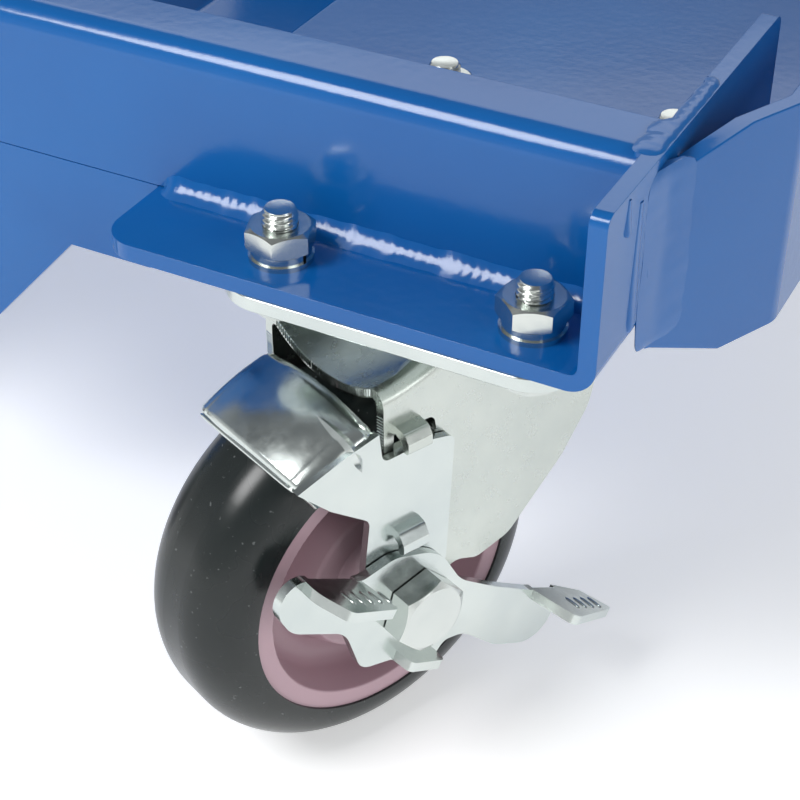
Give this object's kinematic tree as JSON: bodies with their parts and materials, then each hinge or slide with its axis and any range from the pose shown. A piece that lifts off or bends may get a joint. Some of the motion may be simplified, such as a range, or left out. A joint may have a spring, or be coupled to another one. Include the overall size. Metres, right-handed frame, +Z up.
{
  "type": "wheel dolly",
  "caption": "Low steel wheel dolly with a dipped tyre cradle between side rails, bolted corner brackets and braked swivel casters.",
  "frame": {"origin": "on the floor under the middle of the frame", "axes": "+Z up; X along the direction in which the car's tyre rolls, across the dip of the cradle; Y across the tyre, from rail to rail"},
  "size_m": [0.433, 0.4468, 0.1674],
  "materials": {
    "blue_paint": "gloss powder coat with light orange peel",
    "zinc_sheet": "bright zinc plate",
    "zinc_hardware": "bright zinc plate",
    "pink_core": "moulded satin",
    "black_tread": "smooth semi-gloss"
  },
  "bodies": {
    "frame": {"deck_pan": "blue_paint", "side_rail_front": "blue_paint", "side_rail_rear": "blue_paint", "apron_front": "blue_paint", "apron_rear": "blue_paint", "end_rail_right": "blue_paint", "end_rail_left": "blue_paint", "rail_welds": "blue_paint", "post_welds": "blue_paint", "mount_bolts": "zinc_hardware", "mount_nuts": "zinc_hardware", "flat_washers": "zinc_hardware", "spring_washers": "zinc_hardware", "kingpins": "zinc_hardware", "corner_bracket_a": "blue_paint", "top_plate_a": "zinc_sheet", "corner_bracket_b": "blue_paint", "top_plate_b": "zinc_sheet", "corner_bracket_c": "blue_paint", "top_plate_c": "zinc_sheet", "corner_bracket_d": "blue_paint", "top_plate_d": "zinc_sheet"},
    "swivel_a": {"fork_a": "zinc_sheet", "race_ring_a": "zinc_hardware", "axle_bolt_a": "zinc_hardware", "axle_nut_a": "zinc_hardware", "axle_sleeve_a": "zinc_hardware"},
    "wheel_a": {"wheel_core_a": "pink_core", "tread_a": "black_tread"},
    "brake_a": {"brake_cover_a": "zinc_sheet"},
    "pedal_a": {"brake_pedal_a": "zinc_sheet"},
    "swivel_b": {"fork_b": "zinc_sheet", "race_ring_b": "zinc_hardware", "axle_bolt_b": "zinc_hardware", "axle_nut_b": "zinc_hardware", "axle_sleeve_b": "zinc_hardware"},
    "wheel_b": {"wheel_core_b": "pink_core", "tread_b": "black_tread"},
    "brake_b": {"brake_cover_b": "zinc_sheet"},
    "pedal_b": {"brake_pedal_b": "zinc_sheet"},
    "swivel_c": {"fork_c": "zinc_sheet", "race_ring_c": "zinc_hardware", "axle_bolt_c": "zinc_hardware", "axle_nut_c": "zinc_hardware", "axle_sleeve_c": "zinc_hardware"},
    "wheel_c": {"wheel_core_c": "pink_core", "tread_c": "black_tread"},
    "brake_c": {"brake_cover_c": "zinc_sheet"},
    "pedal_c": {"brake_pedal_c": "zinc_sheet"},
    "swivel_d": {"fork_d": "zinc_sheet", "race_ring_d": "zinc_hardware", "axle_bolt_d": "zinc_hardware", "axle_nut_d": "zinc_hardware", "axle_sleeve_d": "zinc_hardware"},
    "wheel_d": {"wheel_core_d": "pink_core", "tread_d": "black_tread"},
    "brake_d": {"brake_cover_d": "zinc_sheet"},
    "pedal_d": {"brake_pedal_d": "zinc_sheet"}
  },
  "joints": [
    {"name": "swivel_a", "type": "hinge", "parent": "frame", "child": "swivel_a", "pos_m": [0.15, -0.138, 0.118], "axis": [0, 0, 1], "continuous": true},
    {"name": "roll_a", "type": "hinge", "parent": "swivel_a", "child": "wheel_a", "pos_m": [0.1334, -0.17527, 0.05], "axis": [0.9135, -0.4067, 0], "continuous": true},
    {"name": "pedal_a", "type": "hinge", "parent": "swivel_a", "child": "pedal_a", "pos_m": [0.1334, -0.17527, 0.05], "axis": [0.9135, -0.4067, 0], "range_deg": [0, 24]},
    {"name": "brake_a", "type": "slide", "parent": "swivel_a", "child": "brake_a", "axis": [0.1524, 0.3422, -0.9272], "range_m": [0, 0.0018]},
    {"name": "swivel_b", "type": "hinge", "parent": "frame", "child": "swivel_b", "pos_m": [0.15, 0.138, 0.118], "axis": [0, 0, 1], "continuous": true},
    {"name": "roll_b", "type": "hinge", "parent": "swivel_b", "child": "wheel_b", "pos_m": [0.12488, 0.17015, 0.05], "axis": [-0.788, -0.6157, 0], "continuous": true},
    {"name": "pedal_b", "type": "hinge", "parent": "swivel_b", "child": "pedal_b", "pos_m": [0.12488, 0.17015, 0.05], "axis": [-0.788, -0.6157, 0], "range_deg": [0, 24]},
    {"name": "brake_b", "type": "slide", "parent": "swivel_b", "child": "brake_b", "axis": [0.2306, -0.2952, -0.9272], "range_m": [0, 0.0018]},
    {"name": "swivel_c", "type": "hinge", "parent": "frame", "child": "swivel_c", "pos_m": [-0.15, 0.138, 0.118], "axis": [0, 0, 1], "continuous": true},
    {"name": "roll_c", "type": "hinge", "parent": "swivel_c", "child": "wheel_c", "pos_m": [-0.1334, 0.17527, 0.05], "axis": [-0.9135, 0.4067, 0], "continuous": true},
    {"name": "pedal_c", "type": "hinge", "parent": "swivel_c", "child": "pedal_c", "pos_m": [-0.1334, 0.17527, 0.05], "axis": [-0.9135, 0.4067, 0], "range_deg": [0, 24]},
    {"name": "brake_c", "type": "slide", "parent": "swivel_c", "child": "brake_c", "axis": [-0.1524, -0.3422, -0.9272], "range_m": [0, 0.0018]},
    {"name": "swivel_d", "type": "hinge", "parent": "frame", "child": "swivel_d", "pos_m": [-0.15, -0.138, 0.118], "axis": [0, 0, 1], "continuous": true},
    {"name": "roll_d", "type": "hinge", "parent": "swivel_d", "child": "wheel_d", "pos_m": [-0.12488, -0.17015, 0.05], "axis": [0.788, 0.6157, 0], "continuous": true},
    {"name": "pedal_d", "type": "hinge", "parent": "swivel_d", "child": "pedal_d", "pos_m": [-0.12488, -0.17015, 0.05], "axis": [0.788, 0.6157, 0], "range_deg": [0, 24]},
    {"name": "brake_d", "type": "slide", "parent": "swivel_d", "child": "brake_d", "axis": [-0.2306, 0.2952, -0.9272], "range_m": [0, 0.0018]}
  ],
  "couplings": [
    {"joint": "brake_a", "follows": "pedal_a", "m_per_rad": 0.004273},
    {"joint": "brake_b", "follows": "pedal_b", "m_per_rad": 0.004273},
    {"joint": "brake_c", "follows": "pedal_c", "m_per_rad": 0.004273},
    {"joint": "brake_d", "follows": "pedal_d", "m_per_rad": 0.004273}
  ]
}
